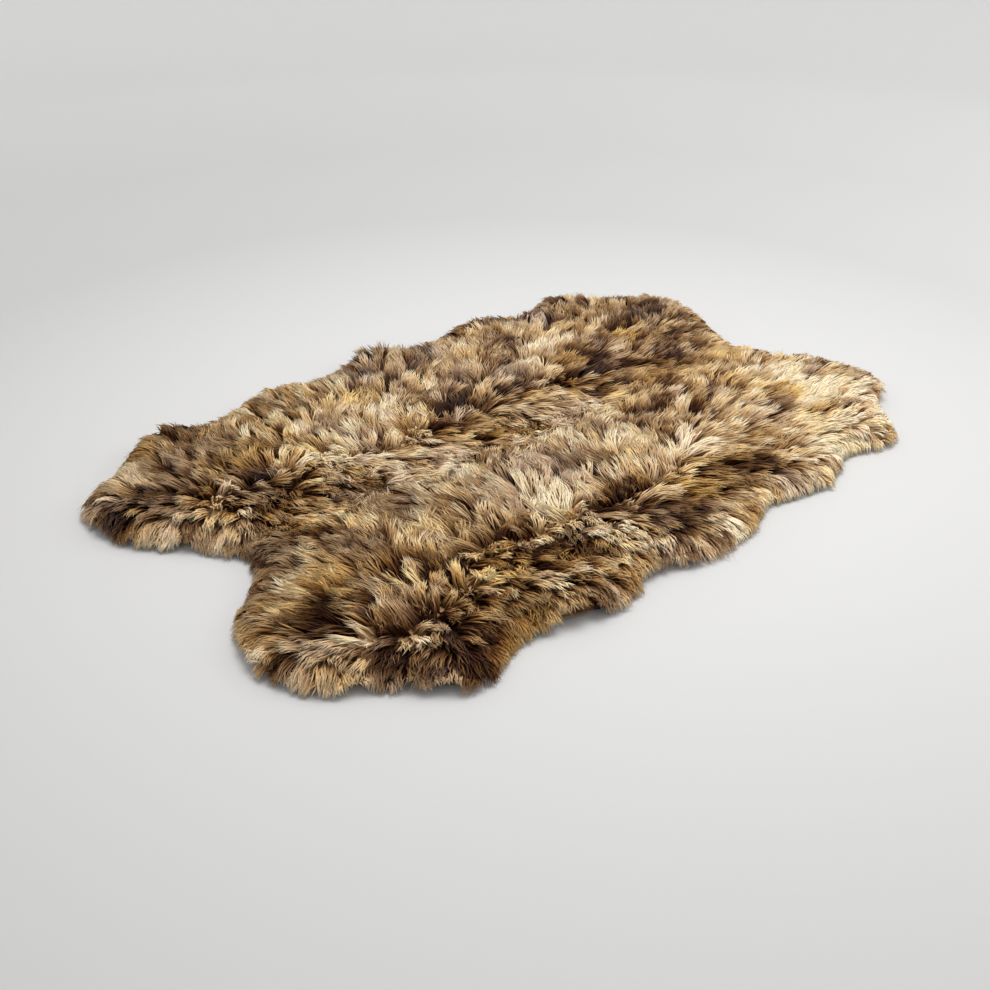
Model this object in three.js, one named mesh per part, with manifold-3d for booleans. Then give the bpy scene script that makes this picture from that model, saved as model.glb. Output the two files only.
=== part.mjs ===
// Sheepskin rug: four whole pelts sewn two by two, lying flat with the wool up.
// Millimetres, +Z up. X runs along the rug, Y across it, and the floor is at Z = 0.
// Each pelt is a thin hide with a lumpy slab of long wool on it and loose locks at its outer rim.
// The pelts meet at two straight seams, one along the rug and one across it.
import * as THREE from 'three';
import { mergeVertices } from 'three/addons/utils/BufferGeometryUtils.js';
import Module from 'manifold-3d';

// Hides
const hideThickness = 2;
const hideInset = 42; // from the tips of the wool in to the cut edge of the hide
const seamGap = 0.4; // between two pelts, at hide and wool alike
const layerGap = 0.35; // between a hide and its own wool

// Wool
const pileHeight = 60; // at the middle of a pelt
const slabInset = 14; // from the tips of the wool in to the rim of the slab
const rimHeight = 13; // of the slab at its rim
const shoulderWidth = 62; // over which the slab rounds down to its rim
const seamDip = 0.24; // share of the pile's height lost over a seam
const seamDipWidth = 55;
const lumps = [
  { size: 150, height: 7, seed: 11 },
  { size: 82, height: 6, seed: 47 },
];

// Locks at the rim
const lockSpacing = 30;
const lockRoot = 34; // how far a lock starts inside the rim of the slab
const lockReach = { shortest: 9, longest: 27 }; // past the rim of the slab
const lockWidth = { narrowest: 26, widest: 38 }; // at the root
const lockHeight = { lowest: 38, highest: 48 }; // at the root
const lockTip = { width: 3.4, height: 3 };
const lockTaper = { width: 1.3, height: 1.4 }; // powers of the way along it
const lockLean = 0.42; // radians, to either side
const lockBend = 11; // sideways drift of the tip
const lockSteps = 3;
const seamMargin = 0.75; // of the spacing, between a seam and the nearest lock
const freeAfter = 4; // locks from a seam, where they no longer run along it

// Mesh of the slab
const outerPoints = 46; // along the outer edge of a pelt
const seamPoints = { across: 9, along: 13 };
const ringScales = [0.975, 0.935, 0.87, 0.74, 0.58, 0.4, 0.2]; // of the rim, about the middle

// Edge of the wool, read from the rug's centre: how far along the rug and how far out across it.
// The rows go from the seam across the rug, round the outer corner, to the seam along it.
const edgeStations = [
  { place: 'shoulder', backLeft: [0, 605], backRight: [0, 605], frontLeft: [0, 610], frontRight: [0, 610] },
  { place: 'foreleg', backLeft: [75, 580], backRight: [75, 582], frontLeft: [62, 600], frontRight: [110, 594] },
  { place: 'armpit', backLeft: [155, 546], backRight: [158, 534], frontLeft: [130, 565], frontRight: [225, 550] },
  { place: 'belly', backLeft: [310, 588], backRight: [340, 582], frontLeft: [310, 604], frontRight: [380, 580] },
  { place: 'groin', backLeft: [483, 520], backRight: [496, 514], frontLeft: [488, 555], frontRight: [538, 528] },
  { place: 'hind leg', backLeft: [580, 570], backRight: [622, 566], frontLeft: [622, 610], frontRight: [650, 566] },
  { place: 'hock', backLeft: [655, 545], backRight: [690, 508], frontLeft: [694, 562], frontRight: [704, 530] },
  { place: 'hip', backLeft: [735, 480], backRight: [745, 433], frontLeft: [742, 507], frontRight: [760, 454] },
  { place: 'rump corner', backLeft: [862, 388], backRight: [862, 388], frontLeft: [852, 432], frontRight: [868, 398] },
  { place: 'rump', backLeft: [886, 290], backRight: [890, 290], frontLeft: [894, 290], frontRight: [888, 290] },
  { place: 'rump inside', backLeft: [852, 190], backRight: [846, 165], frontLeft: [846, 172], frontRight: [868, 180] },
  { place: 'tail', backLeft: [762, 88], backRight: [796, 75], frontLeft: [742, 76], frontRight: [806, 90] },
  { place: 'end seam', backLeft: [706, 0], backRight: [778, 0], frontLeft: [706, 0], frontRight: [778, 0] },
];

const pelts = [
  { key: 'backLeft', name: 'back_left', right: -1, back: 1, seed: 3, wool: 0x8d7458 },
  { key: 'backRight', name: 'back_right', right: 1, back: 1, seed: 7, wool: 0x7a5f45 },
  { key: 'frontLeft', name: 'front_left', right: -1, back: -1, seed: 13, wool: 0x84694c },
  { key: 'frontRight', name: 'front_right', right: 1, back: -1, seed: 19, wool: 0xc2ad8a },
];

const wasm = await Module();
wasm.setup();

// A number from 0 to 1 that looks random but is the same on each run.
const scatter = { seed: 127.1, count: 311.7, spread: 43758.5453 };
function chance(seed, count) {
  const value = Math.sin(seed * scatter.seed + count * scatter.count) * scatter.spread;
  return value - Math.floor(value);
}

function between(range, share) {
  const [low, high] = Object.values(range);
  return low + (high - low) * share;
}

// Smooth hills of about the given size, from -1 to 1, eased between the corners of square cells.
const cellStep = { column: 57, row: 13 };
function hills(x, y, size, seed) {
  const [column, row] = [Math.floor(x / size), Math.floor(y / size)];
  const ease = (share) => share * share * (3 - 2 * share);
  const [across, up] = [ease(x / size - column), ease(y / size - row)];
  const corner = (i, j) => chance(seed, (column + i) * cellStep.column + (row + j) * cellStep.row);
  const low = THREE.MathUtils.lerp(corner(0, 0), corner(1, 0), across);
  const high = THREE.MathUtils.lerp(corner(0, 1), corner(1, 1), across);
  return 2 * THREE.MathUtils.lerp(low, high, up) - 1;
}

// Outer edge of a pelt, moved inwards, as points from one seam to the other.
function peltEdge(pelt, inset) {
  const stations = edgeStations.map((row) => {
    const [along, out] = row[pelt.key];
    return new THREE.Vector3(along, out, 0);
  });
  const curve = new THREE.CatmullRomCurve3(stations, false, 'centripetal');
  const half = seamGap / 2;
  const points = [];
  for (let step = 0; step <= outerPoints; step += 1) {
    const share = step / outerPoints;
    const point = curve.getPointAt(share);
    const tangent = curve.getTangentAt(share);
    const along = step === 0 ? half : Math.max(half, point.x + tangent.y * inset);
    const out = step === outerPoints ? half : Math.max(half, point.y - tangent.x * inset);
    points.push(new THREE.Vector2(along * pelt.right, out * pelt.back));
  }
  return points;
}

// Closed outline of a pelt, anticlockwise: its outer edge, then back along both seams.
function peltOutline(pelt, inset) {
  const outline = peltEdge(pelt, inset);
  const corner = new THREE.Vector2(pelt.right, pelt.back).multiplyScalar(seamGap / 2);
  const [first, last] = [outline[0], outline[outline.length - 1]];
  for (let step = 1; step <= seamPoints.along; step += 1) {
    outline.push(last.clone().lerp(corner, step / seamPoints.along));
  }
  for (let step = 1; step < seamPoints.across; step += 1) {
    outline.push(corner.clone().lerp(first, step / seamPoints.across));
  }
  return THREE.ShapeUtils.isClockWise(outline) ? outline.reverse() : outline;
}

const slabRim = pelts.flatMap((pelt) => peltEdge(pelt, slabInset));

// Height of the wool's top at a place in plan.
function woolHeight(x, y) {
  const place = new THREE.Vector2(x, y);
  const toRim = Math.min(...slabRim.map((point) => point.distanceTo(place)));
  const away = 1 - Math.min(toRim / shoulderWidth, 1);
  const round = Math.sqrt(1 - away * away);
  const toSeam = Math.min(Math.abs(x), Math.abs(y));
  const dip = seamDip * Math.exp(-((toSeam / seamDipWidth) ** 2));
  let height = pileHeight * (1 - dip);
  for (const lump of lumps) {
    height += lump.height * hills(x, y, lump.size, lump.seed);
  }
  return rimHeight + (height - rimHeight) * round;
}

function geometryFrom(vertices, faces) {
  const geometry = new THREE.BufferGeometry();
  geometry.setAttribute('position', new THREE.Float32BufferAttribute(vertices, 3));
  geometry.setIndex(faces);
  return geometry;
}

// A closed body of rings, each of the same count of points, between two single end points.
function ringBody(firstEnd, rings, lastEnd) {
  const count = rings[0].length;
  const vertices = [...firstEnd, ...rings.flat(2), ...lastEnd];
  const last = 1 + rings.length * count;
  const faces = [];
  for (let side = 0; side < count; side += 1) {
    const next = (side + 1) % count;
    faces.push(0, 1 + next, 1 + side);
    for (let ring = 0; ring + 1 < rings.length; ring += 1) {
      const [low, high] = [1 + ring * count, 1 + (ring + 1) * count];
      faces.push(low + side, low + next, high + next);
      faces.push(low + side, high + next, high + side);
    }
    faces.push(last - count + side, last - count + next, last);
  }
  return geometryFrom(vertices, faces);
}

// Slab of wool with a flat underside on the floor and a lumpy top, rounded at its outer rim.
function slabGeometry(pelt) {
  const outline = peltOutline(pelt, slabInset);
  const middle = new THREE.Box2().setFromPoints(outline).getCenter(new THREE.Vector2());
  const rings = [outline.map((point) => [point.x, point.y, 0])];
  for (const scale of [1, ...ringScales]) {
    const ring = outline.map((point) => middle.clone().lerp(point, scale));
    rings.push(ring.map((point) => [point.x, point.y, woolHeight(point.x, point.y)]));
  }
  const top = woolHeight(middle.x, middle.y);
  return ringBody([middle.x, middle.y, 0], rings, [middle.x, middle.y, top]);
}

// One lock: three sides, flat on the floor, from inside the slab out to a thin tip.
function lockGeometry(root, heading, size) {
  const forward = new THREE.Vector2(Math.cos(heading), Math.sin(heading));
  const sideways = new THREE.Vector2(-forward.y, forward.x);
  const length = lockRoot + size.reach;
  const place = (along, aside, height) => {
    const point = root.clone().addScaledVector(forward, along).addScaledVector(sideways, aside);
    return [point.x, point.y, height];
  };
  const rings = [];
  for (let step = 0; step <= lockSteps; step += 1) {
    const share = step / lockSteps;
    const drift = size.bend * share * share;
    const half = THREE.MathUtils.lerp(size.width, lockTip.width, share ** lockTaper.width) / 2;
    const height = THREE.MathUtils.lerp(size.height, lockTip.height, share ** lockTaper.height);
    const along = length * share;
    rings.push([place(along, drift + half, 0), place(along, drift - half, 0), place(along, drift, height)]);
  }
  const vertices = rings.flat(2);
  const last = lockSteps * 3;
  const faces = [0, 1, 2, last, last + 2, last + 1];
  for (let step = 0; step < lockSteps; step += 1) {
    for (let side = 0; side < 3; side += 1) {
      const [a, b] = [step * 3 + side, step * 3 + ((side + 1) % 3)];
      faces.push(a, a + 3, b + 3);
      faces.push(a, b + 3, b);
    }
  }
  return geometryFrom(vertices, faces);
}

// The locks of a pelt, evenly along its outer edge, each with its own lean, reach and thickness.
function lockGeometries(pelt) {
  const edge = new THREE.SplineCurve(peltEdge(pelt, slabInset + lockRoot));
  const turn = pelt.right * pelt.back;
  const count = Math.floor(edge.getLength() / lockSpacing);
  const locks = [];
  for (let lock = 0; lock < count; lock += 1) {
    const share = (lock + seamMargin) / (count - 1 + 2 * seamMargin);
    const draw = (column) => chance(pelt.seed + column, lock);
    const tangent = edge.getTangentAt(share);
    const freedom = Math.min(1, Math.min(lock, count - 1 - lock) / freeAfter);
    const normal = new THREE.Vector2(-tangent.y * turn, tangent.x * turn);
    const alongSeam = share < 0.5 ? new THREE.Vector2(0, pelt.back) : new THREE.Vector2(pelt.right, 0);
    const outward = alongSeam.lerp(normal, freedom).angle();
    const lean = lockLean * (2 * draw(1) - 1) * freedom;
    const size = {
      reach: between(lockReach, draw(2)),
      width: between(lockWidth, draw(3)),
      height: between(lockHeight, draw(4)),
      bend: lockBend * (2 * draw(5) - 1) * freedom,
    };
    const clear = size.width / 2 + seamGap;
    const place = edge.getPointAt(share);
    const along = Math.max(clear, place.x * pelt.right);
    const out = Math.max(clear, place.y * pelt.back);
    const root = new THREE.Vector2(along * pelt.right, out * pelt.back);
    locks.push(lockGeometry(root, outward + lean, size));
  }
  return locks;
}

function hideGeometry(pelt, inset, thickness) {
  const shape = new THREE.Shape(peltOutline(pelt, inset));
  return new THREE.ExtrudeGeometry(shape, { depth: thickness, bevelEnabled: false });
}

const weldDistance = 1e-4;
function toSolid(geometry) {
  const bare = geometry.clone();
  bare.deleteAttribute('normal');
  bare.deleteAttribute('uv');
  const merged = mergeVertices(bare, weldDistance);
  const vertProperties = Float32Array.from(merged.attributes.position.array);
  const triVerts = Uint32Array.from(merged.index.array);
  return new wasm.Manifold(new wasm.Mesh({ numProp: 3, vertProperties, triVerts }));
}

function fromSolid(solid) {
  const mesh = solid.getMesh();
  const geometry = geometryFrom(mesh.vertProperties, Array.from(mesh.triVerts));
  geometry.computeVertexNormals();
  return geometry;
}

// Room for a hide under the wool: the hide grown by the gap, from below the floor and past both seams.
function hideRoom(pelt) {
  const depth = 2 * hideThickness + layerGap;
  const room = toSolid(hideGeometry(pelt, hideInset - layerGap, depth)).translate([0, 0, -hideThickness]);
  return room.add(room.translate([-pelt.right * seamGap, -pelt.back * seamGap, 0]));
}

function woolGeometry(pelt) {
  let wool = toSolid(slabGeometry(pelt));
  for (const lock of lockGeometries(pelt)) {
    wool = wool.add(toSolid(lock));
  }
  return fromSolid(wool.subtract(hideRoom(pelt)));
}

const leather = new THREE.MeshStandardMaterial({ color: 0x9a7a58, roughness: 0.82, metalness: 0 });
const rug = new THREE.Group();
for (const pelt of pelts) {
  const hide = new THREE.Mesh(hideGeometry(pelt, hideInset, hideThickness), leather.clone());
  hide.name = `hide_${pelt.name}`;
  const woolFinish = new THREE.MeshStandardMaterial({ color: pelt.wool, roughness: 0.95, metalness: 0 });
  const wool = new THREE.Mesh(woolGeometry(pelt), woolFinish);
  wool.name = `wool_${pelt.name}`;
  rug.add(hide, wool);
}

// The middle of the whole rug, locks and all, goes to the origin.
const middle = new THREE.Box3().setFromObject(rug).getCenter(new THREE.Vector3());
rug.position.set(-middle.x, -middle.y, 0);

export default rug;
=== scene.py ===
import math

import bmesh
import bpy
import numpy as np
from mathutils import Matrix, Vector
from mathutils.bvhtree import BVHTree


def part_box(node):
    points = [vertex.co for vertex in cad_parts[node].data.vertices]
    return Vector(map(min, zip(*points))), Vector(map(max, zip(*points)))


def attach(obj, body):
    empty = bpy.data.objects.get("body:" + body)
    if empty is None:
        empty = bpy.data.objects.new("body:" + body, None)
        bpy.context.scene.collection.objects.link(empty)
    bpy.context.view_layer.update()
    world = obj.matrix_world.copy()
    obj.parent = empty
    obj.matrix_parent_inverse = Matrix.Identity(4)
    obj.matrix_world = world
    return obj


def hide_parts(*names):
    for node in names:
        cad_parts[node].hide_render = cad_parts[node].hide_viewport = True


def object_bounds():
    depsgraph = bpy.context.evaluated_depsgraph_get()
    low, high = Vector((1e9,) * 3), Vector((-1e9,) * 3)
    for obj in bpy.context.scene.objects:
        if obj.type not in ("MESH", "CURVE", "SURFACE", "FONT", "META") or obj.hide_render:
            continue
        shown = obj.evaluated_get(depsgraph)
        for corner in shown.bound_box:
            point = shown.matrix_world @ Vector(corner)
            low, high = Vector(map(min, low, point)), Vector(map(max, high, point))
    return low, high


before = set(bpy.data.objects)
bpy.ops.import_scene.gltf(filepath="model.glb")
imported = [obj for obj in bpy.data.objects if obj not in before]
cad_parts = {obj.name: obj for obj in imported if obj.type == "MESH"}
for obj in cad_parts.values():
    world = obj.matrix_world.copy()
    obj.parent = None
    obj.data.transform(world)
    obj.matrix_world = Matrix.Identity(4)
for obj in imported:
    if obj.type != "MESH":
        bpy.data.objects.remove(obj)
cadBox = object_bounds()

# Four long-haired pelts sewn two by two, lying flat on a studio floor, in metres

pelts = ["back_left", "back_right", "front_left", "front_right"]
print("rug: frame loaded", cadBox)


# Node helpers: a wire is one socket, a net is one node tree

def isVector(value):
    if isinstance(value, Wire):
        return value.socket.type in ("VECTOR", "RGBA")
    return isinstance(value, (tuple, list))


class Wire:
    def __init__(self, net, socket):
        self.net, self.socket = net, socket

    def join(self, operation, other, flip=False):
        first, second = (other, self) if flip else (self, other)
        if not (isVector(first) or isVector(second)):
            return self.net.node("ShaderNodeMath", {"operation": operation}, {0: first, 1: second})
        if operation == "MULTIPLY" and isVector(first) != isVector(second):
            vector, number = (first, second) if isVector(first) else (second, first)
            return self.net.node("ShaderNodeVectorMath", {"operation": "SCALE"}, {0: vector, "Scale": number})
        return self.net.node("ShaderNodeVectorMath", {"operation": operation}, {0: first, 1: second})

    def __add__(self, other):
        return self.join("ADD", other)

    def __radd__(self, other):
        return self.join("ADD", other, True)

    def __sub__(self, other):
        return self.join("SUBTRACT", other)

    def __rsub__(self, other):
        return self.join("SUBTRACT", other, True)

    def __mul__(self, other):
        return self.join("MULTIPLY", other)

    def __rmul__(self, other):
        return self.join("MULTIPLY", other, True)

    def atLeast(self, other):
        return self.join("MAXIMUM", other)

    def atMost(self, other):
        return self.join("MINIMUM", other)

    def part(self, axis):
        return self.net.node("ShaderNodeSeparateXYZ", {}, {0: self}, axis)


class Net:
    def __init__(self, tree):
        self.tree = tree
        tree.nodes.clear()

    def node(self, kind, settings, values, output=0):
        made = self.tree.nodes.new(kind)
        for name, value in settings.items():
            if name == "stops":
                self.setStops(made.color_ramp, value)
            else:
                setattr(made, name, value)
        for key, value in values.items():
            if isinstance(value, Wire):
                self.tree.links.new(value.socket, made.inputs[key])
            else:
                made.inputs[key].default_value = value
        return Wire(self, made.outputs[output]) if made.outputs else made

    def noise(self, place, scale, detail):
        values = {"Vector": place, "Scale": scale, "Detail": detail}
        return self.node("ShaderNodeTexNoise", {}, values)

    def tinted(self, amount, colour, tint):
        settings = {"data_type": "RGBA", "blend_type": "MULTIPLY"}
        return self.node("ShaderNodeMix", settings, {"Factor": amount, 6: colour, 7: tint}, 2)

    def setStops(self, ramp, stops):
        while len(ramp.elements) < len(stops):
            ramp.elements.new(1.0)
        for element, (place, colour) in zip(ramp.elements, stops):
            element.position = place
            element.color = (*colour, 1.0)


def newFinish(name):
    material = bpy.data.materials.new(name)
    material.use_nodes = True
    return material, Net(material.node_tree)


def finishWith(net, settings, values):
    shader = net.node("ShaderNodeBsdfPrincipled", {}, {**settings, **values})
    net.node("ShaderNodeOutputMaterial", {}, {"Surface": shader})


# Camera and studio

studio = {
    "lens": 47.25,
    "cameraPlace": (-1.758, -1.911, 1.42),
    "cameraDown": 30.63,     # degrees under the horizon
    "cameraTurn": -41.48,    # degrees about the upright
    "sensor": 36.0,          # millimetres, as the lens is
    "floorRadius": 5.5,
    "wallHeight": 3.6,
    "wallBend": 1.6,
    "bendSteps": 12,
    "spokes": 96,
    # each grey comes after the share of the floor's radius at which it lies; the rings lighter and darker
    # than the floor's own pale grey are painted light and shade
    "floorGreysPaintedLight": [(0.14, 0.63), (0.30, 0.54), (0.45, 0.58), (0.66, 0.70), (1.0, 0.76)],
    "worldGrey": 0.70,
    "boxPower": 122.0,
    "boxPlace": (0.9, -0.1, 4.2),
    "boxSize": (2.8, 2.8),
    "sidePower": 26.0,
    "sidePlace": (3.0, -1.6, 2.2),
    "sideSize": (1.4, 1.4),
    "aim": (0.1, 0.0, 0.0),
    "lightTint": (1.0, 0.99, 0.97),
}


def addCamera():
    data = bpy.data.cameras.new("photoCamera")
    data.lens = studio["lens"]
    data.sensor_width = studio["sensor"]
    data.clip_start = 0.02
    camera = bpy.data.objects.new("photoCamera", data)
    camera.location = studio["cameraPlace"]
    tilt = math.radians(90 - studio["cameraDown"])
    camera.rotation_euler = (tilt, 0.0, math.radians(studio["cameraTurn"]))
    bpy.context.scene.collection.objects.link(camera)
    bpy.context.scene.camera = camera


def addSoftbox(name):
    data = bpy.data.lights.new(name, "AREA")
    data.shape = "RECTANGLE"
    data.size, data.size_y = studio[name + "Size"]
    data.energy = studio[name + "Power"]
    data.color = studio["lightTint"]
    light = bpy.data.objects.new(name, data)
    light.location = studio[name + "Place"]
    way = Vector(studio["aim"]) - Vector(studio[name + "Place"])
    light.rotation_euler = way.to_track_quat("-Z", "Y").to_euler()
    bpy.context.scene.collection.objects.link(light)


def studioFinish():
    material, net = newFinish("studioGrey")
    place = net.node("ShaderNodeTexCoord", {}, {}, "Object")
    away = net.node("ShaderNodeVectorMath", {"operation": "LENGTH"}, {0: place}, "Value")
    # painted light and shade: the floor's grey changes with distance from the middle, standing in for how the
    # lamps fall on it
    paintedLightGreys = [(share, (grey, grey, grey)) for share, grey in studio["floorGreysPaintedLight"]]
    colour = net.node("ShaderNodeValToRGB", {"stops": paintedLightGreys}, {"Fac": away * (1 / studio["floorRadius"])})
    finishWith(net, {"Specular IOR Level": 0.25, "Roughness": 0.7}, {"Base Color": colour})
    return material


def addFloor():
    # a round floor that bends up into a low wall, so every view ends on the same pale grey
    radius, bend, height = studio["floorRadius"], studio["wallBend"], studio["wallHeight"]
    profile = [(0.0, 0.0), (radius * 0.5, 0.0), (radius - bend, 0.0)]
    for step in range(1, studio["bendSteps"] + 1):
        angle = math.pi / 2 * step / studio["bendSteps"]
        profile.append((radius - bend + bend * math.sin(angle), bend - bend * math.cos(angle)))
    profile.append((radius, height))
    mesh = bmesh.new()
    spokes = studio["spokes"]
    rings = []
    for reach, rise in profile[1:]:
        turn = [2 * math.pi * spoke / spokes for spoke in range(spokes)]
        rings.append([mesh.verts.new((reach * math.cos(a), reach * math.sin(a), rise)) for a in turn])
    middle = mesh.verts.new((0, 0, 0))
    for spoke in range(spokes):
        after = (spoke + 1) % spokes
        mesh.faces.new((middle, rings[0][spoke], rings[0][after]))
        for low, high in zip(rings, rings[1:]):
            mesh.faces.new((low[spoke], high[spoke], high[after], low[after]))
    data = bpy.data.meshes.new("studioFloor")
    mesh.to_mesh(data)
    mesh.free()
    for face in data.polygons:
        face.use_smooth = True
    floor = bpy.data.objects.new("studioFloor", data)
    bpy.context.scene.collection.objects.link(floor)
    data.materials.append(studioFinish())


def addWorld():
    world = bpy.data.worlds.new("studioWorld")
    world.use_nodes = True
    world.node_tree.nodes["Background"].inputs[0].default_value = [studio["worldGrey"]] * 3 + [1.0]
    bpy.context.scene.world = world


addCamera()
addFloor()
addWorld()
addSoftbox("box")
addSoftbox("side")
bpy.context.scene.view_settings.view_transform = "Standard"
print("rug: camera, floor and lights are up")


# Shapes read from the frame

def searchTree(names):
    places, faces = [], []
    for name in names:
        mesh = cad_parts[name].data
        start = len(places)
        places += [vertex.co.copy() for vertex in mesh.vertices]
        faces += [[start + corner for corner in face.vertices] for face in mesh.polygons]
    return BVHTree.FromPolygons(places, faces)


woolTop = searchTree(["wool_" + pelt for pelt in pelts])
outlineSizes = {
    "rays": 230,
    "onSeam": 0.0005,    # a corner this near to the seam's line lies on it
}


def topOfWool(x, y):
    hit = woolTop.ray_cast(Vector((x, y, 1.0)), Vector((0, 0, -1)))[0]
    return hit.z if hit else 0.0


def peltOutline(pelt):
    # the cut edge of a hide: rays from its middle out to its wall, with its corners at the seams kept
    name = "hide_" + pelt
    count, onSeam = outlineSizes["rays"], outlineSizes["onSeam"]
    low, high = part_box(name)
    middle = np.array([(low[0] + high[0]) / 2, (low[1] + high[1]) / 2])
    corners = np.array([vertex.co[:2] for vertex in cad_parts[name].data.vertices])
    seamX = high[0] if "left" in pelt else low[0]
    seamY = low[1] if "back" in pelt else high[1]
    onX = corners[abs(corners[:, 0] - seamX) < onSeam]
    onY = corners[abs(corners[:, 1] - seamY) < onSeam]
    kept = [np.array([seamX, seamY]), onX[np.argmax(abs(onX[:, 1]))], onY[np.argmax(abs(onY[:, 0]))]]
    wall = searchTree([name])
    points = [(math.atan2(*(corner - middle)[::-1]), corner) for corner in kept]
    for step in range(count):
        angle = 2 * math.pi * step / count - math.pi
        if min(abs(angle - known) for known, _ in points[:3]) < math.pi / count:
            continue
        start = Vector((middle[0], middle[1], (low[2] + high[2]) / 2))
        hit = wall.ray_cast(start, Vector((math.cos(angle), math.sin(angle), 0)))[0]
        points.append((angle, np.array(hit[:2])))
    points = np.array([place for _, place in sorted(points, key=lambda point: point[0])])
    outer = (abs(points[:, 0] - seamX) > onSeam) & (abs(points[:, 1] - seamY) > onSeam)
    return middle, points, outer


outlines = {pelt: peltOutline(pelt) for pelt in pelts}


def outwardNormals(points):
    along = np.roll(points, -1, 0) - np.roll(points, 1, 0)
    normals = np.stack([along[:, 1], -along[:, 0]], 1)
    return normals / np.linalg.norm(normals, axis=1)[:, None]


rimPoints = np.concatenate([points[outer] for _, points, outer in outlines.values()])
rimNormals = np.concatenate([outwardNormals(points)[outer] for _, points, outer in outlines.values()])
print("rug: outlines read,", len(rimPoints), "points round the rim")


# Soft hills, the same each run

def smooth(share):
    share = np.clip(share, 0, 1)
    return share * share * (3 - 2 * share)


def hills(x, y, size, seed):
    # soft ups and downs between -1 and 1, with one corner value for each square of this size
    column, row = np.floor(x / size), np.floor(y / size)
    across, up = smooth(x / size - column), smooth(y / size - row)

    def corner(i, j):
        value = np.sin((column + i) * 127.1 + (row + j) * 311.7 + seed * 74.7) * 43758.5453
        return value - np.floor(value)

    low = corner(0, 0) * (1 - across) + corner(1, 0) * across
    high = corner(0, 1) * (1 - across) + corner(1, 1) * across
    return 2 * (low * (1 - up) + high * up) - 1


# The rug's crown: how high the tips of the wool stand

crown = {
    "overhang": 0.042,    # the wool's edge lies this far past the cut edge of the hide
    "roll": 0.068,        # width over which the rim rounds down to the floor
    "floor": 0.0022,      # the lowest tips stay this far over the floor
    "highest": cadBox[1][2] + 0.006,
    "least": 0.03,        # the wool is never thinner than this, away from the rim
    "mixing": 0.012,      # how far round the nearest rim point the outward way is mixed
    "batch": 2000,        # places worked out at a time
}

# the front edge of one hide stands a little off the floor
lifted = {
    "x": -0.36,
    "y": -0.55,
    "along": 0.08,
    "across": 0.07,
    "height": 0.007,
    "bare": 0.040,        # half the length of the stretch where the leather shows
    "tips": 1.2,          # the tips rise this many times as much as the leather
    "out": 0.009,         # the leather reaches further out there
    "shorter": 0.014,     # and the wool less far
    "raised": 0.005,
}


def bareAt(plan):
    # where the wool stops short of the lifted edge, so that the leather shows
    along = (plan[:, 0] - lifted["x"]) / lifted["bare"]
    across = (plan[:, 1] - lifted["y"]) / lifted["across"]
    return np.exp(-along ** 4 - across ** 2)


def liftAt(plan):
    along = (plan[:, 0] - lifted["x"]) / lifted["along"]
    across = (plan[:, 1] - lifted["y"]) / lifted["across"]
    return lifted["height"] * np.exp(-along ** 2 - across ** 2)


def nearestRim(plan):
    # how far inside the wool's edge each place lies, and which way is outward there
    depth = np.empty(len(plan))
    outward = np.empty((len(plan), 2))
    batch = crown["batch"]
    for start in range(0, len(plan), batch):
        part = plan[start:start + batch]
        away = part[:, None] - rimPoints[None]
        gaps = np.linalg.norm(away, axis=2)
        nearest = gaps.argmin(1)
        side = (away[np.arange(len(part)), nearest] * rimNormals[nearest]).sum(1)
        depth[start:start + batch] = crown["overhang"] - np.sign(side) * gaps.min(1)
        mixed = np.exp(-(gaps - gaps.min(1)[:, None]) / crown["mixing"]) @ rimNormals
        outward[start:start + batch] = mixed / (np.linalg.norm(mixed, axis=1)[:, None] + 1e-9)
    return depth, outward


# where the rug's edge stands up higher, and where it reaches further out or less far: along the rug,
# across it, how wide and how much
tufts = {
    "higher": [(-0.61, 0.55, 0.05, 0.010), (0.03, 0.59, 0.07, 0.054), (0.72, 0.48, 0.06, 0.012)],
    "further": [
        (0.53, -0.55, 0.08, 0.010), (0.33, -0.59, 0.10, 0.010), (0.05, -0.61, 0.05, 0.008),
        (-0.47, -0.57, 0.06, 0.010), (-0.88, -0.42, 0.05, 0.008), (-0.86, 0.16, 0.05, 0.010),
        (-0.84, 0.40, 0.05, 0.008), (0.89, -0.31, 0.06, -0.016), (0.87, -0.20, 0.05, -0.012),
        (0.83, -0.42, 0.05, -0.010), (0.66, -0.53, 0.05, 0.006), (-0.72, -0.55, 0.04, -0.010),
        (-0.76, 0.03, 0.05, -0.014),
    ],
}


def tuftsAt(plan, kind):
    total = np.zeros(len(plan))
    for x, y, size, amount in tufts[kind]:
        away = np.hypot(plan[:, 0] - x, plan[:, 1] - y)
        total += amount * np.exp(-(away / size) ** 2)
    return total


def crownHeight(plan):
    depth, outward = nearestRim(plan)
    inward = np.maximum(crown["roll"] - depth, 0)
    inside = plan - outward * inward[:, None]
    height = np.array([topOfWool(*place) for place in inside])
    away = 1 - np.clip(depth / crown["roll"], 0, 1)
    return np.maximum(height, crown["least"]) * np.sqrt(1 - away ** 2)


# Hides: one thin sheet of leather for each pelt, with its front edge lifted where it is seen

hideSizes = {
    "rings": [1.0, 0.97, 0.9, 0.78, 0.6, 0.35],
    "edgeRound": 0.0006,
}


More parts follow.
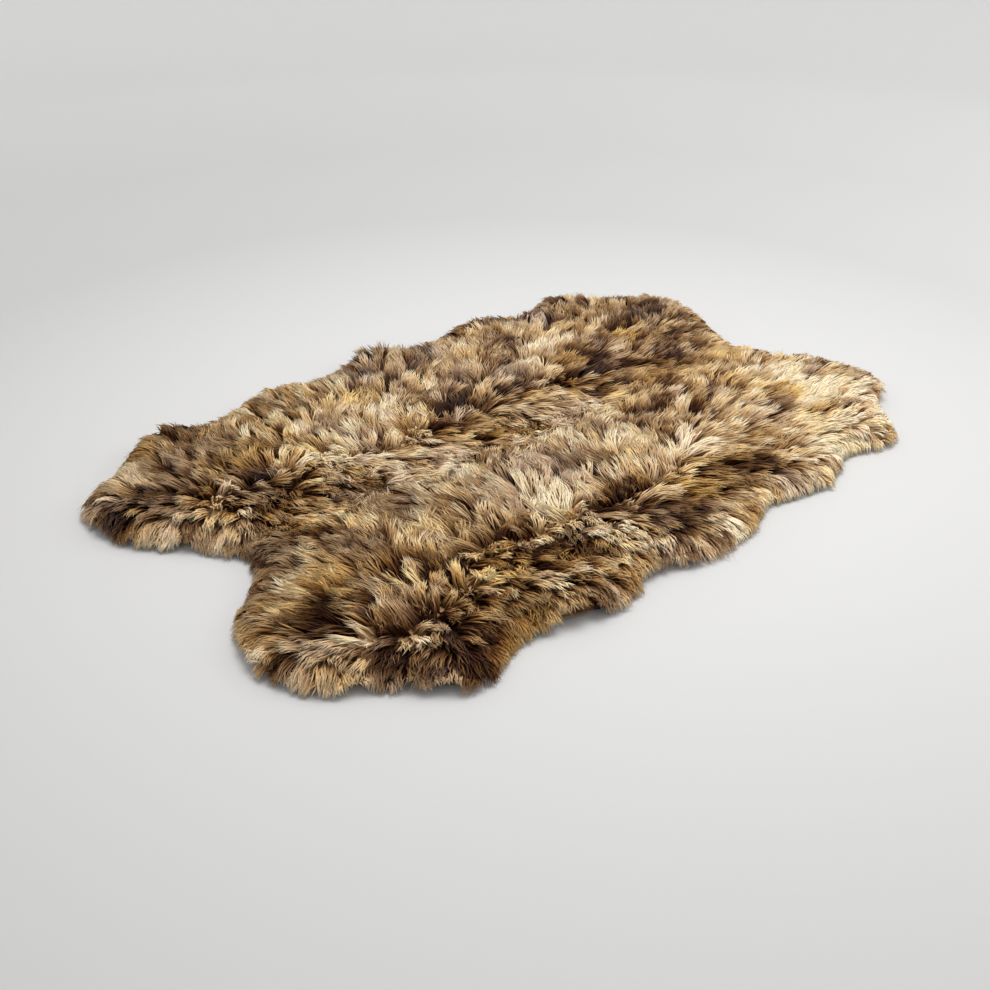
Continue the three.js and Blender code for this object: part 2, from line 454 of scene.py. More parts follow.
def ringMesh(name, rings, firstEnd, lastEnd):
    # a closed skin through rings of the same count of points, from one single end point to the other
    count = len(rings[0])
    vertices = np.concatenate([[firstEnd]] + rings + [[lastEnd]])
    last = len(vertices) - 1
    faces = []
    for side in range(count):
        after = (side + 1) % count
        faces.append((0, 1 + after, 1 + side))
        for ring in range(len(rings) - 1):
            low, high = 1 + ring * count, 1 + (ring + 1) * count
            faces.append((low + side, low + after, high + after, high + side))
        high = 1 + (len(rings) - 1) * count
        faces.append((high + side, high + after, last))
    mesh = bpy.data.meshes.new(name)
    mesh.from_pydata(vertices.tolist(), [], faces)
    mesh.update()
    for face in mesh.polygons:
        face.use_smooth = True
    piece = bpy.data.objects.new(name, mesh)
    bpy.context.scene.collection.objects.link(piece)
    return piece, vertices


def addHide(pelt):
    middle, points, _ = outlines[pelt]
    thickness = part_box("hide_" + pelt)[1][2]
    turn = hideSizes["edgeRound"]
    levels = [(scale, 0.0, 0.0) for scale in reversed(hideSizes["rings"][1:])]
    levels += [(1.0, turn, 0.0), (1.0, 0.0, turn), (1.0, 0.0, thickness - turn), (1.0, turn, thickness)]
    levels += [(scale, 0.0, thickness) for scale in hideSizes["rings"][1:]]
    normals = outwardNormals(points)
    points = points + normals * (lifted["out"] * bareAt(points))[:, None]
    rings = []
    for scale, inset, height in levels:
        plan = middle + (points - normals * inset - middle) * scale
        rings.append(np.c_[plan, height + liftAt(plan)])
    ends = [[*middle, height + liftAt(middle[None])[0]] for height in (0.0, thickness)]
    return ringMesh("leather_" + pelt, rings, *ends)[0]


# Underwool: the dense wool near the skin, and the guide that the locks grow on

underwool = {
    "share": 0.58,        # of the crown's height
    "rings": 26,
    "rimPast": [0.010, 0.018, 0.021, 0.014],     # how far its rounded side stands out past the hide
    "rimLevels": [0.0040, 0.0090, 0.0155, 0.0215],
    "above": 0.0004,      # over the hide
    "foot": 0.998,        # its foot is this share of the hide's outline
    "seamSide": 0.6,      # its side's height at a seam, as a share of that at the rim
    "least": 0.012,
    "lump": 0.0035,
    "lumpSize": 0.045,
    "lumpFade": 0.1,      # the lumps grow over this far from the edge
    "innermost": 0.97,    # how far the rings run in towards the middle
    "crowding": 1.25,     # over 1, the rings lie closer near the edge
    "softening": [0.15, 0.20, 0.30, 0.20, 0.15],     # shares of neighbours where the rim meets a seam
}

# lines where the wool parts and falls away to both sides
partings = [
    {"from": (-0.68, -0.36), "to": (0.20, -0.34), "size": 0.15},
    {"from": (-0.64, 0.20), "to": (0.28, 0.16), "size": 0.08},
]

fall = {
    "partingWidth": 0.07,
    "partingSway": 0.07,
    "swaySize": 0.13,
    "swayStretch": 0.3,   # the sway changes this much slower across the rug
    "partingNear": 0.2,   # the nearer parting counts for more, from this share of its size
    "partingPower": 4,
    "least": 0.5,         # how much of the fall is left on a parting itself
    "drift": 0.55,        # how much the wool on the right is swept to the right
    "driftFrom": -0.35,
    "driftOver": 0.5,
    "curl": 0.70,         # how much the way of one curl differs from the next
    "curlSize": 0.03,
    "lean": 0.068,        # how far a lock's tip lies from its root, well inside
    "rimLean": 0.058,     # and at the rim
    "rimWidth": 0.115,
    "turn": 0.9,          # radians that the fall wanders
    "wide": (0.6, 0.16),  # share of it in wide stretches, and how wide they are
    "narrow": (0.5, 0.06),
    "rimTurn": 0.5,       # radians that it wanders at the rim
    "rimTurnSize": 0.05,
    "wisp": 0.010,        # the edge's unevenness
    "wispSize": 0.028,
    "rimStart": 0.03,     # wool this near to the edge has the rim's lean in full
    "leastReach": 0.012,
    "over": 0.32,         # where along its lean a lock bends over, well inside
    "rimOver": 0.70,      # and at the rim
    "rise": (0.85, 0.012),           # share of its tip's height that it has there, and the least
    "rimRise": (1.25, 0.010),        # and at the rim, as a share of the crown's height
    "crestAt": 0.85,      # that height is read this far along the way there
}


def turned(ways, angles):
    cosine, sine = np.cos(angles), np.sin(angles)
    return np.stack([ways[:, 0] * cosine - ways[:, 1] * sine, ways[:, 0] * sine + ways[:, 1] * cosine], 1)


def fallDirection(x, y):
    sway = fall["partingSway"] * hills(x, y * fall["swayStretch"], fall["swaySize"], 7)
    place = np.stack([x, y + sway], 1)
    total, weights = np.zeros((len(x), 2)), np.zeros(len(x))
    for parting in partings:
        start, line = np.array(parting["from"]), np.subtract(parting["to"], parting["from"])
        share = np.clip((place - start) @ line / (line @ line), 0, 1)
        away = place - start - share[:, None] * line
        distance = np.linalg.norm(away, axis=1)
        weight = 1 / (distance / parting["size"] + fall["partingNear"]) ** fall["partingPower"]
        strength = fall["least"] + (1 - fall["least"]) * smooth(distance / fall["partingWidth"])
        total += away / (distance[:, None] + 1e-6) * (weight * strength)[:, None]
        weights += weight
    total /= weights[:, None]
    total[:, 0] += fall["drift"] * smooth((x - fall["driftFrom"]) / fall["driftOver"])
    curls = [hills(x, y, fall["curlSize"], seed) for seed in (31, 37)]
    total += np.stack(curls, 1) * fall["curl"]
    total /= np.maximum(np.linalg.norm(total, axis=1), 1)[:, None]
    (wide, wideSize), (narrow, narrowSize) = fall["wide"], fall["narrow"]
    wander = wide * hills(x, y, wideSize, 3) + narrow * hills(x, y, narrowSize, 5)
    return turned(total, fall["turn"] * wander)


def addUnderwool(pelt):
    middle, points, outer = outlines[pelt]
    count = len(points)
    normals = outwardNormals(points)
    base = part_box("hide_" + pelt)[1][2] + underwool["above"]
    wrapped = np.r_[outer[-2:], outer, outer[:2]].astype(float)
    soft = np.convolve(wrapped, underwool["softening"], "valid")
    soft = np.where(outer, soft, 0.0) * (1 - bareAt(points))
    under = middle + (points - middle) * underwool["foot"]
    rings = [np.c_[under, base + liftAt(under)]]
    grow = [np.zeros(count)]
    for past, level in zip(underwool["rimPast"], underwool["rimLevels"]):
        plan = points + normals * (past * soft)[:, None]
        side = underwool["seamSide"] + (1 - underwool["seamSide"]) * soft
        rings.append(np.c_[plan, level * side + liftAt(plan)])
        grow.append(soft)
    inwards = np.linspace(0, underwool["innermost"], underwool["rings"])
    for scale in 1 - inwards ** underwool["crowding"]:
        plan = middle + (points - middle) * scale
        depth, _ = nearestRim(plan)
        height = crownHeight(plan) * underwool["share"]
        lumps = hills(*plan.T, underwool["lumpSize"], 9) * smooth(depth / underwool["lumpFade"])
        height += underwool["lump"] * lumps
        rings.append(np.c_[plan, np.maximum(height, underwool["least"]) + liftAt(plan)])
        grow.append(np.ones(count))
    top = [*middle, rings[-1][:, 2].mean()]
    piece, vertices = ringMesh("underwool_" + pelt, rings, [*middle, base], top)
    addFall(piece.data, vertices, np.r_[0.0, np.concatenate(grow), 1.0])
    return piece


def addFall(mesh, vertices, grow):
    # reach is the way from a root to the tip of its lock, and bow the way to where it bends over
    plan = vertices[:, :2]
    depth, outward = nearestRim(plan)
    rim = smooth(1 - (depth - fall["rimStart"]) / fall["rimWidth"])
    inner = fallDirection(*plan.T) * fall["lean"]
    outward = turned(outward, fall["rimTurn"] * hills(*plan.T, fall["rimTurnSize"], 17))
    wisp = fall["wisp"] * hills(*plan.T, fall["wispSize"], 23)
    past = wisp + tuftsAt(plan, "further") - lifted["shorter"] * bareAt(plan)
    outer = outward * np.clip(depth + past, fall["leastReach"], fall["rimLean"] + past)[:, None]
    lean = inner * (1 - rim)[:, None] + outer * rim[:, None]
    tips = plan + lean
    height = np.maximum(crownHeight(tips), crown["floor"]) + tuftsAt(tips, "higher")
    height += liftAt(tips) * lifted["tips"] + lifted["raised"] * bareAt(tips)
    reach = np.c_[lean, height - vertices[:, 2]]
    over = fall["over"] + (fall["rimOver"] - fall["over"]) * rim
    crest = crownHeight(plan + lean * (over * fall["crestAt"])[:, None]) - vertices[:, 2]
    (share, least), (rimShare, rimLeast) = fall["rise"], fall["rimRise"]
    rise = np.maximum(share * reach[:, 2], least) * (1 - rim) + np.maximum(crest * rimShare, rimLeast) * rim
    store(mesh, "reach", "FLOAT_VECTOR", reach)
    store(mesh, "bow", "FLOAT_VECTOR", np.c_[lean * over[:, None], rise])
    store(mesh, "rim", "FLOAT", rim)
    store(mesh, "grow", "FLOAT", grow)


def store(mesh, name, kind, values):
    layer = mesh.attributes.new(name, kind, "POINT")
    layer.data.foreach_set("vector" if kind == "FLOAT_VECTOR" else "value", np.asarray(values, "f").ravel())


def valuesOf(mesh, name):
    values = np.empty(len(mesh.vertices), "f")
    mesh.attributes[name].data.foreach_get("value", values)
    return values


def vectorsOf(mesh, name):
    values = np.empty(len(mesh.vertices) * 3, "f")
    mesh.attributes[name].data.foreach_get("vector", values)
    return values.reshape(-1, 3)


# Locks: closed strands with three sides, gathered to the tips of their clumps

strandForm = {
    "calm": 0.15,         # how much less a lock strays at the rim
    "clumpsAtMost": 12000.0,         # on a square metre
    "thinnest": 0.75,     # the thinnest lock, as a share of the radius
    "thicker": 0.5,       # and how much more the thickest has
    "taper": 0.45,        # lost on the way to the tip
    "waves": 3.6,         # radians of wave from root to tip
    "wavesAlong": 140.0,  # radians that the wave shifts for each metre along the rug
    "wavesAcross": 110.0,
    "wavesLuck": 2.0,     # and from lock to lock
    "farAway": 10.0,      # past anything on the rug
}

strandSizes = {
    "locks": {
        "Cell Shape": 9.5,
        "Count": 11650,
        "Bends": 3,
        "Radius": 0.0021,
        "Clump Spacing": 0.0185,
        "Clump Pull": 0.72,
        "Length Spread": 0.20,
        "Turn Spread": 0.50,
        "Lift": 0.006,
        "Stray": 0.0045,
        "Wave": 0.007,
        "Seed": 4,
    },
    "guard_hairs": {
        "Cell Shape": 9.5,
        "Count": 3450,
        "Bends": 2,
        "Radius": 0.0007,
        "Clump Spacing": 0.0185,
        "Clump Pull": 0.45,
        "Length Spread": 0.40,
        "Turn Spread": 0.50,
        "Lift": 0.006,
        "Stray": 0.010,
        "Wave": 0.007,
        "Seed": 4,
    },
}


def addStrandTree(name):
    tree = bpy.data.node_groups.new(name, "GeometryNodeTree")
    tree.interface.new_socket("Geometry", in_out="INPUT", socket_type="NodeSocketGeometry")
    for key in ("Density", "Radius", "Clump Spacing", "Clump Pull", "Length Spread", "Turn Spread", "Lift",
                "Stray", "Wave"):
        tree.interface.new_socket(key, in_out="INPUT", socket_type="NodeSocketFloat")
    for key in ("Bends", "Seed"):
        tree.interface.new_socket(key, in_out="INPUT", socket_type="NodeSocketInt")
    tree.interface.new_socket("Finish", in_out="INPUT", socket_type="NodeSocketMaterial")
    tree.interface.new_socket("Geometry", in_out="OUTPUT", socket_type="NodeSocketGeometry")
    net = Net(tree)
    entry = tree.nodes.new("NodeGroupInput")
    given = {socket.name: Wire(net, socket) for socket in entry.outputs if socket.name}

    def attribute(key, kind="FLOAT_VECTOR"):
        return net.node("GeometryNodeInputNamedAttribute", {"data_type": kind}, {"Name": key})

    def chance(low, high, offset):
        values = {2: low, 3: high, "Seed": given["Seed"] + offset}
        return net.node("FunctionNodeRandomValue", {"data_type": "FLOAT"}, values, 1)

    def wander(amount, offset):
        parts = {axis: chance(amount * -1.0, amount, offset + axis) for axis in range(3)}
        return net.node("ShaderNodeCombineXYZ", {}, parts)

    def squareTo(first, second):
        crossed = net.node("ShaderNodeVectorMath", {"operation": "CROSS_PRODUCT"}, {0: first, 1: second})
        return net.node("ShaderNodeVectorMath", {"operation": "NORMALIZE"}, {0: crossed})

    def tipOf(pointReach, calm):
        # the tip of a lock: its reach made longer or shorter, turned a little and lifted, less so at the rim
        stretch = 1 + chance(given["Length Spread"] * -1.0, given["Length Spread"], 11) * calm
        swung = net.node("ShaderNodeVectorRotate", {"rotation_type": "Z_AXIS"}, {
            "Vector": pointReach,
            "Angle": chance(given["Turn Spread"] * -1.0, given["Turn Spread"], 12) * calm,
        })
        flat = net.node("ShaderNodeCombineXYZ", {}, {0: stretch, 1: stretch, 2: 1.0})
        rise = net.node("ShaderNodeCombineXYZ", {}, {2: chance(given["Lift"] * -1.0, given["Lift"], 13)})
        return place + swung * flat + rise

    place = net.node("GeometryNodeInputPosition", {}, {})
    growing = net.node("FunctionNodeCompare", {"data_type": "FLOAT", "operation": "GREATER_THAN"},
                       {0: attribute("grow", "FLOAT"), 1: 0.5})
    clumps = net.node("GeometryNodeDistributePointsOnFaces", {"distribute_method": "POISSON"}, {
        "Mesh": given["Geometry"], "Selection": growing, "Distance Min": given["Clump Spacing"],
        "Density Max": strandForm["clumpsAtMost"], "Density Factor": 1.0, "Seed": given["Seed"] + 21,
    })
    roots = net.node("GeometryNodeDistributePointsOnFaces", {"distribute_method": "RANDOM"}, {
        "Mesh": given["Geometry"], "Selection": growing, "Density": given["Density"],
        "Seed": given["Seed"] + 22,
    })
    nearest = net.node("GeometryNodeSampleNearest", {"domain": "POINT"}, {0: clumps, 1: place})

    def fromClump(value):
        settings = {"data_type": "FLOAT_VECTOR", "domain": "POINT"}
        values = {"Geometry": clumps, "Value": value, "Index": nearest}
        return net.node("GeometryNodeSampleIndex", settings, values)

    reach = attribute("reach")
    calm = 1 - attribute("rim", "FLOAT") * strandForm["calm"]
    clumpTip = fromClump(tipOf(reach, calm))
    ownTip = tipOf(reach, calm)
    tip = ownTip + (clumpTip - ownTip) * (given["Clump Pull"] * calm) + wander(given["Stray"], 31)
    far = strandForm["farAway"]
    tip = tip.atLeast((-far, -far, crown["floor"])).atMost((far, far, crown["highest"]))

    def keep(points, key, kind, value):
        return net.node("GeometryNodeStoreNamedAttribute", {"data_type": kind, "domain": "POINT"},
                        {"Geometry": points, "Name": key, "Value": value})

    points = keep(roots, "root", "FLOAT_VECTOR", place)
    points = keep(points, "tip", "FLOAT_VECTOR", tip)
    points = keep(points, "clump", "FLOAT_VECTOR", clumpTip)
    points = keep(points, "luck", "FLOAT", chance(0.0, 1.0, 41))

    # one strand: a cone whose rings are moved along the curve afterwards
    cone = net.node("GeometryNodeMeshCone", {"fill_type": "NGON"}, {
        "Vertices": 3, "Side Segments": given["Bends"], "Radius Top": 0.0, "Radius Bottom": 1.0, "Depth": 1.0,
    })
    around = net.node("ShaderNodeVectorMath", {"operation": "NORMALIZE"}, {0: place * (1.0, 1.0, 0.0)})
    cone = keep(cone, "along", "FLOAT", place.part(2))
    cone = keep(cone, "ring", "FLOAT_VECTOR", around)
    strands = net.node("GeometryNodeInstanceOnPoints", {}, {"Points": points, "Instance": cone})
    strands = net.node("GeometryNodeRealizeInstances", {}, {"Geometry": strands})

    along, ring, luck = attribute("along", "FLOAT"), attribute("ring"), attribute("luck", "FLOAT")
    root, end = attribute("root"), attribute("tip")
    way = end - root
    bend = root + attribute("bow") + (way - attribute("reach")) * 0.5
    back = 1 - along
    line = root * (back * back) + bend * (2 * along * back) + end * (along * along)
    side = squareTo(way, (0.02, 0.03, 1.0))      # nearly the upright, as a lock may stand straight up
    over = squareTo(side, way)
    form = strandForm
    girth = form["thinnest"] + form["thicker"] * luck
    thick = given["Radius"] * girth * (1 - form["taper"] * along * along)
    phase = root.part(0) * form["wavesAlong"] + root.part(1) * form["wavesAcross"] + luck * form["wavesLuck"]
    wave = net.node("ShaderNodeMath", {"operation": "SINE"}, {0: along * form["waves"] + phase})
    sway = wave * along * given["Wave"]
    spot = line + side * (ring.part(0) * thick + sway) + over * (ring.part(1) * thick)
    strands = net.node("GeometryNodeSetPosition", {}, {"Geometry": strands, "Position": spot})
    strands = net.node("GeometryNodeSetShadeSmooth", {}, {"Geometry": strands, "Shade Smooth": True})
    strands = net.node("GeometryNodeRealizeInstances", {}, {"Geometry": strands})
    strands = net.node("GeometryNodeSetMaterial", {}, {"Geometry": strands, "Material": given["Finish"]})
    leave = tree.nodes.new("NodeGroupOutput")
    tree.links.new(strands.socket, leave.inputs[0])
    return tree


def growArea(mesh):
    grow = valuesOf(mesh, "grow")
    return sum(face.area for face in mesh.polygons if grow[list(face.vertices)].mean() > 0.5)


def addStrands(kind, pelt, guide, finish):
    sizes = dict(strandSizes[kind])
    piece = bpy.data.objects.new(kind + "_" + pelt, guide.data.copy())
    bpy.context.scene.collection.objects.link(piece)
    modifier = piece.modifiers.new("strands", "NODES")
    modifier.node_group = strandTree
    sizes["Density"] = sizes.pop("Count") / growArea(guide.data)
    sizes["Seed"] += 10 * pelts.index(pelt)
    sizes["Finish"] = finish
    for item in strandTree.interface.items_tree:
        if item.in_out == "INPUT" and item.name in sizes:
            modifier[item.identifier] = sizes[item.name]
    piece.update_tag()
    ready = piece.evaluated_get(bpy.context.evaluated_depsgraph_get())
    mesh = bpy.data.meshes.new_from_object(ready)
    piece.modifiers.remove(modifier)
    piece.data = mesh
    mesh.name = piece.name
    mesh.materials.clear()
    mesh.materials.append(finish)
    mesh.polygons.foreach_set("material_index", np.zeros(len(mesh.polygons), "i"))
    return piece


mapCell = {
    "side": 0.12,         # where a strand's first side lies in its cell
    "sideStep": 0.38,
    "foot": 0.06,
    "length": 0.88,
}


def layOut(piece, cellShape):
    # each strand has its own cell on the map, the dark ones first, and its sides share the cell
    mesh = piece.data
    along, tone = valuesOf(mesh, "along"), valuesOf(mesh, "tone")
    size = len(np.unique(np.round(along, 4))) * 3 - 2
    strands = len(along) // size
    order = np.argsort(np.argsort(tone.reshape(strands, size).mean(1)))
    columns = math.ceil(math.sqrt(strands * cellShape))
    rows = math.ceil(strands / columns)
    corners = np.empty(len(mesh.loops), "i")
    mesh.loops.foreach_get("vertex_index", corners)
    strand, within = corners // size, corners % size
    side = np.where(along[corners] > 0.999, 1, within % 3)
    across = (order[strand] % columns + mapCell["side"] + mapCell["sideStep"] * side) / columns
    up = (order[strand] // columns + mapCell["foot"] + mapCell["length"] * along[corners]) / rows
    layer = mesh.uv_layers.new(name="OFBake")
    layer.data.foreach_set("uv", np.stack([across, up], 1).astype("f").ravel())


# Colour: soft patches over the rug. Each kind has its tone, from dark to cream, its warmth, from grey to
# rust, and the places where it shows: along the rug, across it, and how wide. Those under "places" were
# listed one by one. Those under "added" came later, and most of them follow a list that a program printed of
# where an earlier render was lighter or darker than the photo.

patches = {
    "shaded stretch": {"tone": -0.17, "warmth": 0.10, "places": [], "added": [
        (0.45, 0.13, 0.14), (0.56, 0.32, 0.08), (0.45, 0.41, 0.06), (0.56, 0.50, 0.06),
        (0.13, 0.13, 0.08), (0.00, -0.01, 0.05), (0.12, -0.49, 0.06), (0.54, -0.01, 0.05),
        (0.67, 0.12, 0.07), (0.41, -0.42, 0.05), (-0.56, 0.41, 0.05), (0.47, -0.25, 0.06),
        (-0.07, -0.39, 0.035), (-0.79, -0.31, 0.04), (-0.54, -0.48, 0.04), (-0.38, -0.14, 0.04),
        (0.80, -0.20, 0.04), (-0.55, 0.08, 0.05), (0.41, 0.36, 0.04), (0.02, -0.54, 0.05),
        (-0.02, 0.10, 0.05), (0.00, -0.28, 0.04), (-0.04, -0.12, 0.045), (-0.33, -0.47, 0.04),
        (0.23, 0.45, 0.04), (0.44, -0.33, 0.04), (0.33, 0.02, 0.05), (0.28, -0.15, 0.04),
        (0.14, -0.32, 0.03), (-0.42, -0.26, 0.04), (-0.73, -0.17, 0.04), (-0.23, -0.26, 0.03),
        (-0.85, -0.42, 0.04), (-0.27, -0.47, 0.04), (0.55, 0.16, 0.05), (0.35, -0.20, 0.035),
        (-0.17, 0.40, 0.035), (0.41, 0.22, 0.035), (0.44, -0.37, 0.035), (0.11, 0.11, 0.04),
        (-0.27, -0.29, 0.05), (-0.13, -0.39, 0.05), (0.66, -0.21, 0.035),
    ]},
    "bright tuft": {"tone": 0.30, "warmth": 0.10, "places": [], "added": [
        (0.66, -0.52, 0.07), (0.72, -0.44, 0.05), (0.09, -0.59, 0.05), (0.36, -0.59, 0.05),
        (-0.75, -0.38, 0.04), (-0.21, -0.41, 0.045), (-0.75, 0.12, 0.04), (-0.16, -0.20, 0.05),
        (-0.37, 0.17, 0.05), (0.16, -0.43, 0.04), (-0.36, 0.30, 0.05), (-0.51, -0.29, 0.04),
        (0.25, -0.05, 0.035), (-0.46, -0.43, 0.03), (-0.66, 0.46, 0.04), (-0.40, -0.51, 0.03),
        (-0.15, 0.14, 0.03), (0.62, -0.35, 0.035), (0.14, 0.50, 0.035), (0.34, 0.44, 0.03),
        (0.29, -0.40, 0.035), (-0.20, 0.21, 0.035), (-0.50, 0.27, 0.035),
    ]},
    "bright stretch": {"tone": 0.20, "warmth": 0.00, "places": [], "added": [
        (-0.15, -0.15, 0.07), (-0.13, -0.27, 0.06), (-0.21, -0.36, 0.035), (-0.38, 0.17, 0.06),
        (-0.52, -0.29, 0.045), (0.28, -0.34, 0.06), (0.65, -0.48, 0.08), (0.05, -0.59, 0.06),
        (0.35, -0.56, 0.06), (-0.70, -0.10, 0.06), (-0.73, -0.37, 0.045), (0.08, -0.21, 0.06),
        (0.02, 0.48, 0.04), (0.16, 0.51, 0.04), (0.12, -0.12, 0.05), (0.08, 0.00, 0.035),
    ]},
    "nearly black": {"tone": -0.50, "warmth": 0.00, "places": [
        (-0.55, 0.13, 0.045), (0.58, 0.09, 0.055), (0.66, 0.12, 0.05), (0.775, 0.315, 0.035),
        (-0.02, 0.24, 0.035), (-0.04, 0.59, 0.035), (0.31, -0.10, 0.035), (0.30, 0.035, 0.03),
        (0.07, -0.315, 0.025), (-0.765, -0.28, 0.045), (-0.65, -0.57, 0.045), (-0.58, -0.36, 0.03),
        (-0.34, -0.46, 0.03), (0.00, -0.45, 0.045), (0.00, -0.53, 0.05), (0.23, -0.44, 0.055),
    ], "added": [
        (0.43, 0.20, 0.05), (0.40, 0.11, 0.045), (0.01, 0.60, 0.05), (-0.61, -0.60, 0.05),
        (-0.56, -0.56, 0.04), (-0.26, -0.445, 0.04), (0.06, -0.50, 0.045), (0.71, 0.16, 0.045),
    ]},
    "dark brown": {"tone": -0.33, "warmth": 0.10, "places": [
        (-0.57, 0.55, 0.06), (-0.69, 0.38, 0.05), (-0.88, 0.29, 0.045), (-0.79, 0.31, 0.045),
        (-0.66, 0.30, 0.04), (-0.78, 0.17, 0.03), (-0.48, 0.135, 0.04), (-0.58, 0.21, 0.04),
        (-0.61, 0.07, 0.035), (-0.60, 0.00, 0.035), (-0.07, 0.13, 0.04), (-0.02, 0.14, 0.04),
        (-0.02, 0.435, 0.03), (0.07, 0.185, 0.05), (0.23, 0.38, 0.03), (0.31, 0.41, 0.04),
        (0.40, 0.26, 0.035), (0.50, 0.27, 0.04), (0.59, 0.295, 0.04), (0.69, 0.305, 0.045),
        (0.26, 0.20, 0.035), (0.34, 0.17, 0.045), (0.43, 0.135, 0.05), (0.50, -0.03, 0.05),
        (0.60, 0.015, 0.05), (0.37, -0.085, 0.04), (0.72, 0.16, 0.04), (0.64, 0.19, 0.04),
        (0.57, -0.13, 0.03), (0.61, -0.28, 0.03), (0.445, -0.355, 0.035), (0.32, -0.45, 0.055),
        (0.045, -0.49, 0.04), (0.81, 0.365, 0.04), (0.60, 0.54, 0.05), (0.60, 0.475, 0.045),
        (-0.02, -0.35, 0.04), (-0.90, -0.34, 0.04), (-0.68, -0.39, 0.03), (-0.57, -0.45, 0.04),
        (-0.73, -0.475, 0.035), (-0.60, -0.53, 0.04), (-0.47, -0.255, 0.04), (-0.36, -0.28, 0.04),
        (-0.43, -0.46, 0.03),
    ], "added": [
        (0.02, 0.12, 0.04), (0.10, 0.44, 0.04), (0.56, -0.01, 0.045), (0.10, 0.14, 0.04),
        (-0.33, -0.47, 0.035), (-0.54, 0.08, 0.04), (-0.79, -0.32, 0.035), (0.00, -0.27, 0.035),
        (0.23, -0.41, 0.04), (0.00, 0.00, 0.035), (-0.07, -0.43, 0.035), (-0.72, -0.28, 0.04),
        (0.47, 0.11, 0.05), (0.14, 0.16, 0.05), (0.54, 0.42, 0.06), (0.77, 0.24, 0.05),
        (0.41, -0.20, 0.05), (-0.56, 0.43, 0.04), (0.27, -0.16, 0.035), (-0.02, 0.10, 0.04),
        (-0.55, -0.52, 0.04), (-0.31, -0.48, 0.045), (-0.28, 0.44, 0.03), (-0.01, 0.33, 0.03),
        (-0.71, 0.03, 0.04), (0.02, 0.55, 0.05), (-0.07, -0.39, 0.045), (0.01, 0.27, 0.045),
        (-0.04, 0.23, 0.035),
    ]},
    "taupe": {"tone": -0.16, "warmth": -0.80, "places": [
        (-0.08, 0.47, 0.06), (-0.43, 0.04, 0.04), (-0.375, -0.05, 0.04), (-0.05, -0.15, 0.055),
        (0.10, 0.485, 0.04), (0.39, -0.20, 0.045), (0.14, -0.01, 0.04), (0.545, -0.33, 0.04),
        (-0.30, -0.33, 0.035), (0.81, -0.22, 0.035), (-0.52, -0.12, 0.06), (0.505, 0.485, 0.04),
    ], "added": []},
    "golden": {"tone": 0.08, "warmth": 0.60, "places": [
        (-0.52, 0.34, 0.05), (-0.70, -0.16, 0.06), (-0.545, -0.305, 0.04), (-0.42, -0.39, 0.07),
        (0.335, -0.025, 0.035), (0.41, -0.25, 0.045), (0.70, -0.03, 0.06), (0.53, -0.075, 0.05),
        (0.155, -0.545, 0.04), (0.12, 0.265, 0.03), (0.15, 0.10, 0.06),
    ], "added": [
        (-0.49, -0.55, 0.03), (-0.28, -0.30, 0.05),
    ]},
    "rust": {"tone": 0.00, "warmth": 1.60, "places": [
        (0.11, -0.42, 0.04), (0.59, 0.24, 0.04), (0.64, 0.27, 0.03), (0.27, 0.11, 0.03),
        (0.65, -0.27, 0.03),
    ], "added": []},
    "light tan": {"tone": 0.18, "warmth": 0.10, "places": [
        (-0.80, 0.38, 0.04), (-0.655, 0.465, 0.04), (-0.42, 0.47, 0.07), (-0.36, 0.37, 0.06),
        (-0.36, 0.16, 0.06), (-0.27, 0.19, 0.045), (-0.83, 0.195, 0.035), (-0.72, 0.12, 0.04),
        (-0.32, 0.06, 0.05), (-0.495, -0.05, 0.04), (-0.395, -0.17, 0.05), (-0.87, -0.27, 0.04),
        (-0.67, -0.46, 0.04), (-0.24, -0.375, 0.04), (0.20, 0.05, 0.05), (0.035, 0.34, 0.03),
        (0.445, 0.06, 0.035), (0.53, 0.375, 0.06), (0.71, 0.435, 0.035), (0.75, 0.185, 0.035),
        (0.505, -0.20, 0.045), (0.28, -0.58, 0.05), (0.435, -0.54, 0.04), (-0.20, 0.50, 0.05),
        (0.30, 0.52, 0.06), (0.42, 0.46, 0.05), (-0.12, 0.22, 0.04),
    ], "added": [
        (-0.17, -0.50, 0.05), (-0.60, -0.23, 0.04),
    ]},
    "nearly white": {"tone": 0.52, "warmth": 0.00, "places": [], "added": [
        (-0.12, -0.27, 0.05), (0.24, -0.27, 0.055), (0.72, -0.27, 0.06), (0.52, -0.47, 0.05),
    ]},
    "cream": {"tone": 0.34, "warmth": 0.00, "places": [
        (-0.255, 0.305, 0.05), (-0.16, 0.35, 0.06), (-0.12, 0.27, 0.045), (-0.20, -0.05, 0.035),
        (-0.185, -0.14, 0.04), (-0.15, -0.26, 0.06), (-0.06, -0.23, 0.04), (0.18, 0.40, 0.05),
        (0.30, 0.265, 0.045), (0.35, 0.34, 0.045), (0.435, 0.34, 0.05), (0.14, -0.155, 0.055),
        (0.10, -0.25, 0.06), (0.27, -0.27, 0.065), (0.69, -0.17, 0.055), (0.78, -0.17, 0.04),
        (0.725, -0.255, 0.07), (0.69, -0.32, 0.06), (0.795, -0.32, 0.05), (0.54, -0.50, 0.06),
        (0.53, -0.40, 0.06), (0.77, -0.40, 0.045),
    ], "added": [
        (0.10, -0.08, 0.045), (0.34, -0.57, 0.05), (-0.31, -0.21, 0.045), (-0.40, 0.20, 0.045),
        (-0.16, 0.12, 0.035), (-0.16, -0.17, 0.045), (0.23, -0.23, 0.04), (0.15, 0.30, 0.035),
    ]},
}

